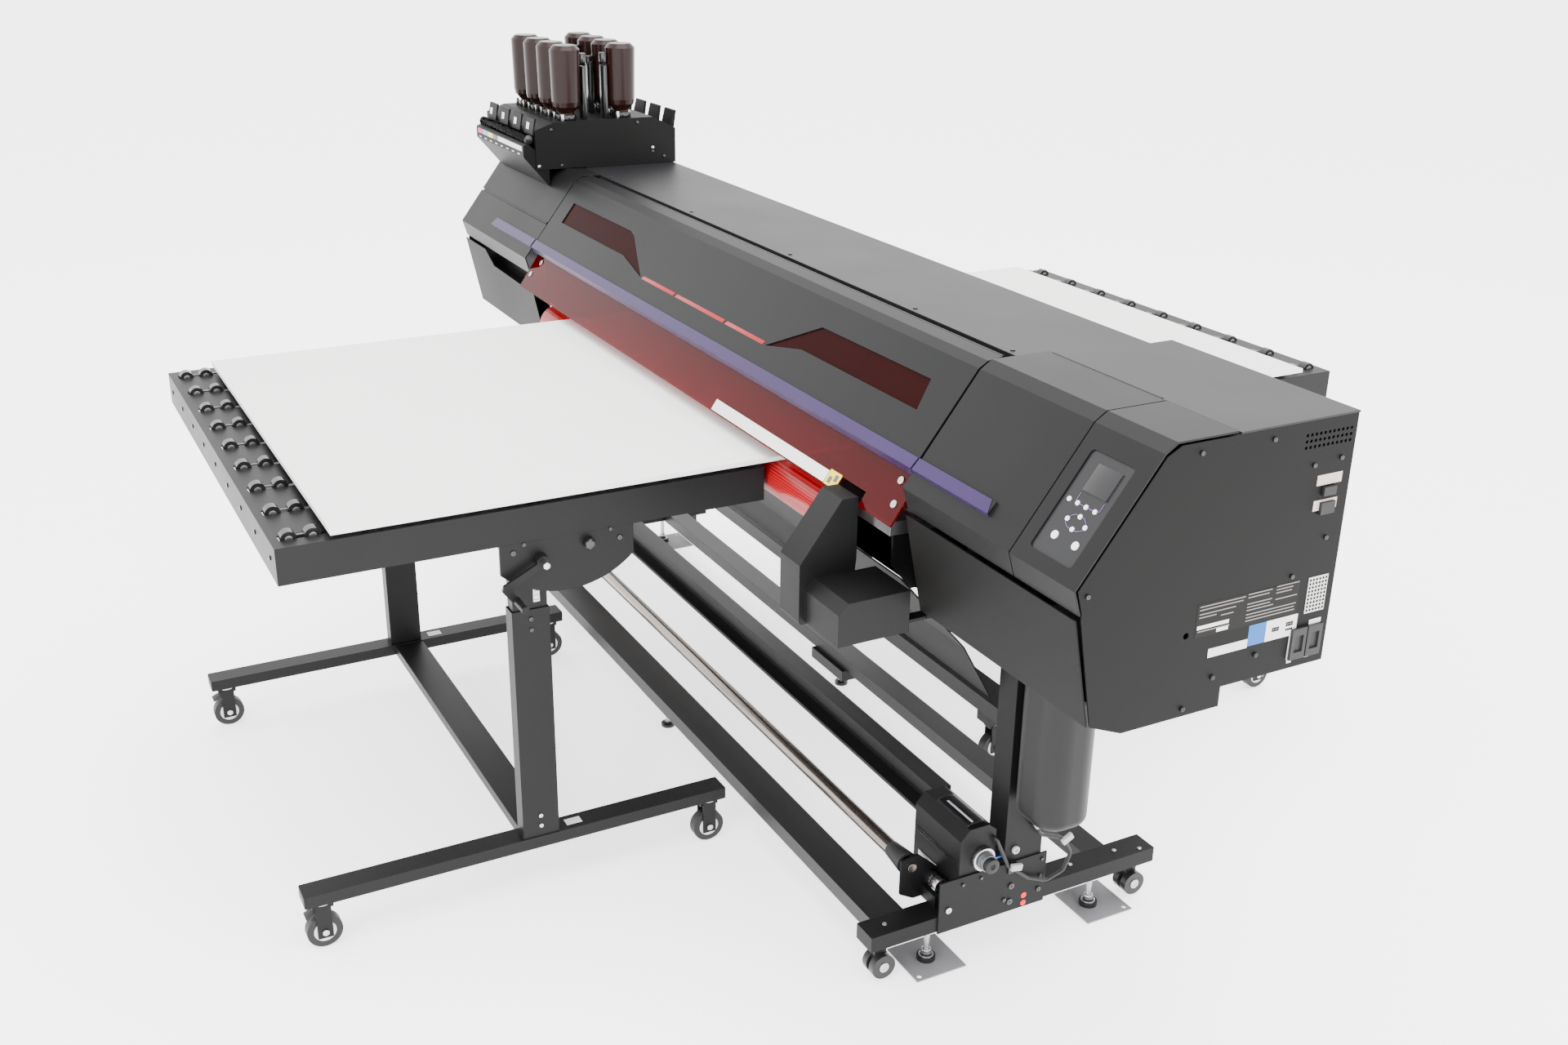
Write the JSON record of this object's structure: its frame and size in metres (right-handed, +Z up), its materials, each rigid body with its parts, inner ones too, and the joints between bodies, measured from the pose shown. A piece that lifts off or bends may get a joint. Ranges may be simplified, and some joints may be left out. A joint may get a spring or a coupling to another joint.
{
  "type": "flatbed uv printer",
  "caption": "Wide inkjet printer on a floor stand with a hinged hood, side control keys, bulk ink bottles, a take-up bar and roller tables at front and back carrying a flat board.",
  "frame": {"origin": "on the floor under the middle of the machine", "axes": "+Z up, +X towards the control end, +Y towards the back table, -Y towards the operator"},
  "size_m": [3.144, 2.665, 1.632],
  "materials": {
    "black_coat": "satin",
    "dark_steel": "satin",
    "grey_rail": "satin",
    "floor_plate": "satin",
    "platen_alloy": "satin",
    "guide_black": "satin",
    "purple_trim": "satin",
    "ruby_clear": "gloss",
    "window_dark": "gloss",
    "panel_grey": "matte",
    "key_white": "matte",
    "rail_steel": "satin",
    "bar_steel": "satin",
    "mech_grey": "matte",
    "rubber_black": "matte",
    "board_white": "matte",
    "bottle_dark": "gloss",
    "tank_dark": "satin",
    "cable_grey": "matte",
    "table_coat": "satin",
    "skate_black": "gloss",
    "caster_wheel": "matte",
    "zinc_screw": "gloss"
  },
  "bodies": {
    "printer": {"stand_frames": "black_coat", "stand_beams": "grey_rail", "stand_feet": "floor_plate", "chassis": "dark_steel", "platen": "platen_alloy", "platen_guide": "guide_black", "front_apron": "black_coat", "top_covers": "black_coat", "rear_shell": "black_coat", "right_side_panel": "black_coat", "lower_front_panels": "black_coat", "left_cover": "black_coat", "control_cover": "black_coat", "keypad_panel": "panel_grey", "guide_rail": "rail_steel", "capping_station": "mech_grey", "drive_housing": "black_coat", "waste_ink_tank": "tank_dark", "takeup_unit": "dark_steel", "takeup_rail": "grey_rail", "connectors": "rubber_black", "ink_housing": "black_coat", "ink_front_tray": "black_coat", "ink_bottles": "bottle_dark", "fasteners": "zinc_screw", "takeup_cable": "cable_grey"},
    "hood": {"hood": "black_coat", "hood_windows": "window_dark", "hood_strip": "purple_trim", "uv_shade": "ruby_clear"},
    "right_cover": {"right_cover": "black_coat"},
    "carriage": {"carriage": "mech_grey"},
    "drive_roller": {"drive_roller": "rubber_black"},
    "pinch_rollers": {"pinch_rollers": "rubber_black"},
    "roll_bar": {"roll_bar": "bar_steel"},
    "board": {"media_board": "board_white"},
    "front_base": {"front_table_base": "table_coat"},
    "front_lift": {"front_table_tray": "table_coat", "front_table_rollers": "skate_black", "front_table_lift": "table_coat"},
    "front_crank": {"front_table_crank": "dark_steel"},
    "front_wheels_outer": {"front_table_wheels_outer": "caster_wheel"},
    "front_wheels_inner": {"front_table_wheels_inner": "caster_wheel"},
    "rear_base": {"rear_table_base": "table_coat"},
    "rear_lift": {"rear_table_tray": "table_coat", "rear_table_rollers": "skate_black", "rear_table_lift": "table_coat"},
    "rear_crank": {"rear_table_crank": "dark_steel"},
    "rear_wheels_outer": {"rear_table_wheels_outer": "caster_wheel"},
    "rear_wheels_inner": {"rear_table_wheels_inner": "caster_wheel"},
    "key_select": {"key_select": "key_white"},
    "key_f1": {"key_f1": "key_white"},
    "key_f2": {"key_f2": "key_white"},
    "key_f3": {"key_f3": "key_white"},
    "key_up": {"key_up": "key_white"},
    "key_left": {"key_left": "key_white"},
    "key_right": {"key_right": "key_white"},
    "key_down": {"key_down": "key_white"},
    "key_power": {"key_power": "key_white"},
    "key_enter": {"key_enter": "key_white"}
  },
  "joints": [
    {"name": "hood_hinge", "type": "hinge", "parent": "printer", "child": "hood", "pos_m": [0.0385, -0.065, 1.276], "axis": [-1, 0, 0], "range_deg": [0, 70]},
    {"name": "right_cover_hinge", "type": "hinge", "parent": "printer", "child": "right_cover", "pos_m": [1.2255, 0.0198, 1.2856], "axis": [-1, 0, 0], "range_deg": [0, 70]},
    {"name": "carriage_slide", "type": "slide", "parent": "printer", "child": "carriage", "axis": [1, 0, 0], "range_m": [-2.4, 0]},
    {"name": "board_feed", "type": "slide", "parent": "printer", "child": "board", "axis": [0, 1, 0], "range_m": [-0.3, 0.3]},
    {"name": "drive_roller_spin", "type": "hinge", "parent": "printer", "child": "drive_roller", "pos_m": [0.0385, -0.02, 0.9347], "axis": [1, 0, 0], "continuous": true},
    {"name": "pinch_roller_spin", "type": "hinge", "parent": "printer", "child": "pinch_rollers", "pos_m": [0.0385, -0.02, 0.9773], "axis": [1, 0, 0], "continuous": true},
    {"name": "roll_bar_spin", "type": "hinge", "parent": "printer", "child": "roll_bar", "pos_m": [-0.069, -0.207, 0.2], "axis": [1, 0, 0], "continuous": true},
    {"name": "front_table_roll", "type": "slide", "parent": "printer", "child": "front_base", "axis": [0, 1, 0], "range_m": [-0.5, 0]},
    {"name": "front_table_lift", "type": "slide", "parent": "front_base", "child": "front_lift", "axis": [0, 0, 1], "range_m": [-0.12, 0]},
    {"name": "front_crank_turn", "type": "hinge", "parent": "front_lift", "child": "front_crank", "pos_m": [0.55, -0.813, 0.824], "axis": [1, 0, 0], "continuous": true},
    {"name": "front_wheels_outer_spin", "type": "hinge", "parent": "front_base", "child": "front_wheels_outer", "pos_m": [-0.069, -1.295, 0.0375], "axis": [1, 0, 0], "continuous": true},
    {"name": "front_wheels_inner_spin", "type": "hinge", "parent": "front_base", "child": "front_wheels_inner", "pos_m": [-0.069, -0.406, 0.0375], "axis": [1, 0, 0], "continuous": true},
    {"name": "rear_table_roll", "type": "slide", "parent": "printer", "child": "rear_base", "axis": [0, 1, 0], "range_m": [0, 0.5]},
    {"name": "rear_table_lift", "type": "slide", "parent": "rear_base", "child": "rear_lift", "axis": [0, 0, 1], "range_m": [-0.12, 0]},
    {"name": "rear_crank_turn", "type": "hinge", "parent": "rear_lift", "child": "rear_crank", "pos_m": [0.55, 0.813, 0.824], "axis": [1, 0, 0], "continuous": true},
    {"name": "rear_wheels_outer_spin", "type": "hinge", "parent": "rear_base", "child": "rear_wheels_outer", "pos_m": [-0.069, 1.295, 0.0375], "axis": [1, 0, 0], "continuous": true},
    {"name": "rear_wheels_inner_spin", "type": "hinge", "parent": "rear_base", "child": "rear_wheels_inner", "pos_m": [-0.069, 0.406, 0.0375], "axis": [1, 0, 0], "continuous": true},
    {"name": "key_select_press", "type": "slide", "parent": "printer", "child": "key_select", "axis": [0, 0.7953, -0.6062], "range_m": [0, 0.0015], "stiffness_N_per_m": 400},
    {"name": "key_f1_press", "type": "slide", "parent": "printer", "child": "key_f1", "axis": [0, 0.7953, -0.6062], "range_m": [0, 0.0015], "stiffness_N_per_m": 400},
    {"name": "key_f2_press", "type": "slide", "parent": "printer", "child": "key_f2", "axis": [0, 0.7953, -0.6062], "range_m": [0, 0.0015], "stiffness_N_per_m": 400},
    {"name": "key_f3_press", "type": "slide", "parent": "printer", "child": "key_f3", "axis": [0, 0.7953, -0.6062], "range_m": [0, 0.0015], "stiffness_N_per_m": 400},
    {"name": "key_up_press", "type": "slide", "parent": "printer", "child": "key_up", "axis": [0, 0.7953, -0.6062], "range_m": [0, 0.0015], "stiffness_N_per_m": 400},
    {"name": "key_left_press", "type": "slide", "parent": "printer", "child": "key_left", "axis": [0, 0.7953, -0.6062], "range_m": [0, 0.0015], "stiffness_N_per_m": 400},
    {"name": "key_right_press", "type": "slide", "parent": "printer", "child": "key_right", "axis": [0, 0.7953, -0.6062], "range_m": [0, 0.0015], "stiffness_N_per_m": 400},
    {"name": "key_down_press", "type": "slide", "parent": "printer", "child": "key_down", "axis": [0, 0.7953, -0.6062], "range_m": [0, 0.0015], "stiffness_N_per_m": 400},
    {"name": "key_power_press", "type": "slide", "parent": "printer", "child": "key_power", "axis": [0, 0.7953, -0.6062], "range_m": [0, 0.0015], "stiffness_N_per_m": 400},
    {"name": "key_enter_press", "type": "slide", "parent": "printer", "child": "key_enter", "axis": [0, 0.7953, -0.6062], "range_m": [0, 0.0015], "stiffness_N_per_m": 400}
  ],
  "couplings": [
    {"joint": "drive_roller_spin", "follows": "board_feed", "rad_per_m": -50},
    {"joint": "pinch_roller_spin", "follows": "board_feed", "rad_per_m": 83.333},
    {"joint": "front_crank_turn", "follows": "front_table_lift", "rad_per_m": 209.44},
    {"joint": "front_wheels_outer_spin", "follows": "front_table_roll", "rad_per_m": -26.667},
    {"joint": "front_wheels_inner_spin", "follows": "front_table_roll", "rad_per_m": -26.667},
    {"joint": "rear_crank_turn", "follows": "rear_table_lift", "rad_per_m": 209.44},
    {"joint": "rear_wheels_outer_spin", "follows": "rear_table_roll", "rad_per_m": -26.667},
    {"joint": "rear_wheels_inner_spin", "follows": "rear_table_roll", "rad_per_m": -26.667}
  ]
}
